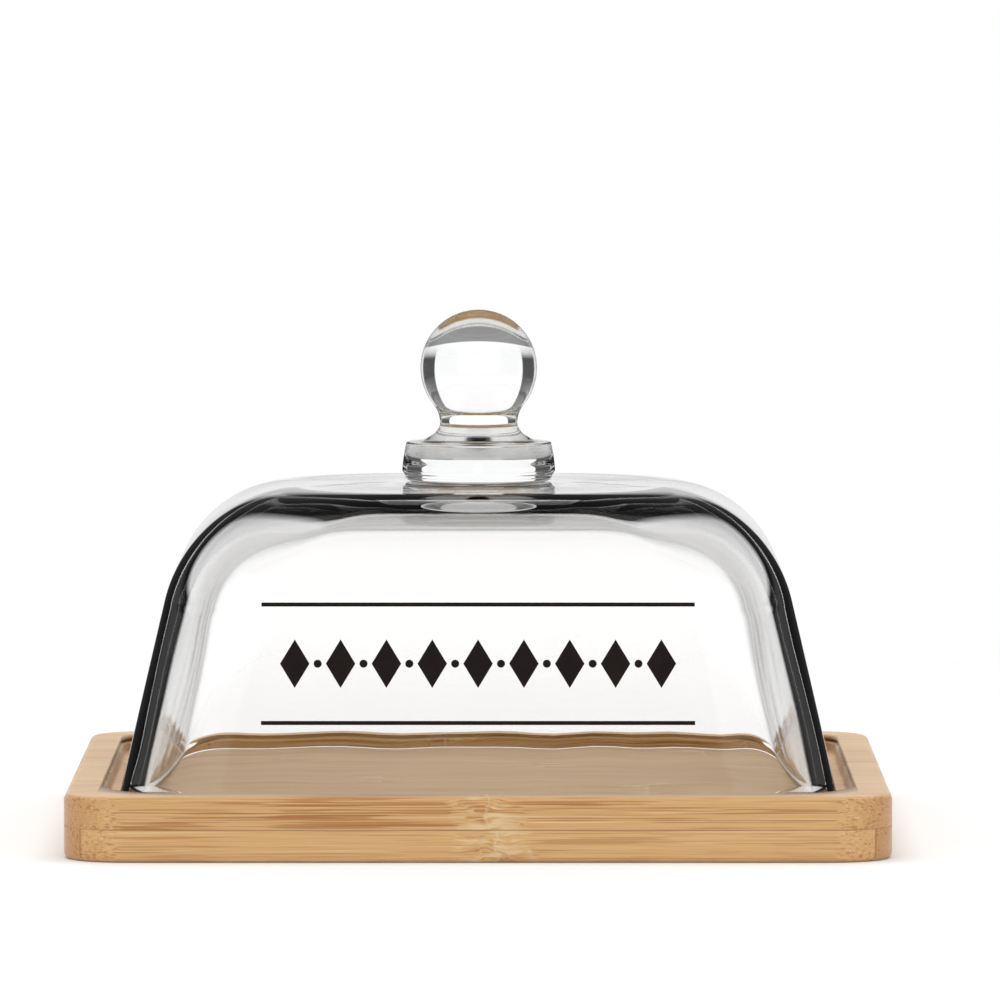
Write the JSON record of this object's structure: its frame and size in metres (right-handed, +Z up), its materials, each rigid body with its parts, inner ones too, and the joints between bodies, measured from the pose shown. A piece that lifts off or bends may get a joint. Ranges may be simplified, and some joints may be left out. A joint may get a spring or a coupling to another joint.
{
  "type": "cheese dome",
  "caption": "Square pressed-glass cheese dome with a ball knob and a plain printed ornament, standing in the recess of a two-ply bamboo board.",
  "frame": {"origin": "centre of the board's flat underside, on the surface it stands on", "axes": "+Z up, along the way the dome lifts; the printed front of the dome faces -Y; +X to the right seen from the front"},
  "size_m": [0.185, 0.185, 0.1192],
  "materials": {
    "bamboo_top": "satin",
    "bamboo_bottom": "satin",
    "wood_glue": "matte",
    "clear_glass": "polished",
    "clear_bond": "gloss",
    "dark_ink": "satin"
  },
  "bodies": {
    "board": {"board_upper_ply": "bamboo_top", "board_glue_line": "wood_glue", "board_lower_ply": "bamboo_bottom"},
    "dome": {"glass_dome": "clear_glass", "glass_knob": "clear_glass", "knob_bond": "clear_bond", "print_rules": "dark_ink", "print_lozenges": "dark_ink"}
  },
  "joints": [
    {"name": "dome_lift", "type": "slide", "parent": "board", "child": "dome", "axis": [0, 0, 1], "range_m": [0, 0.15]}
  ]
}
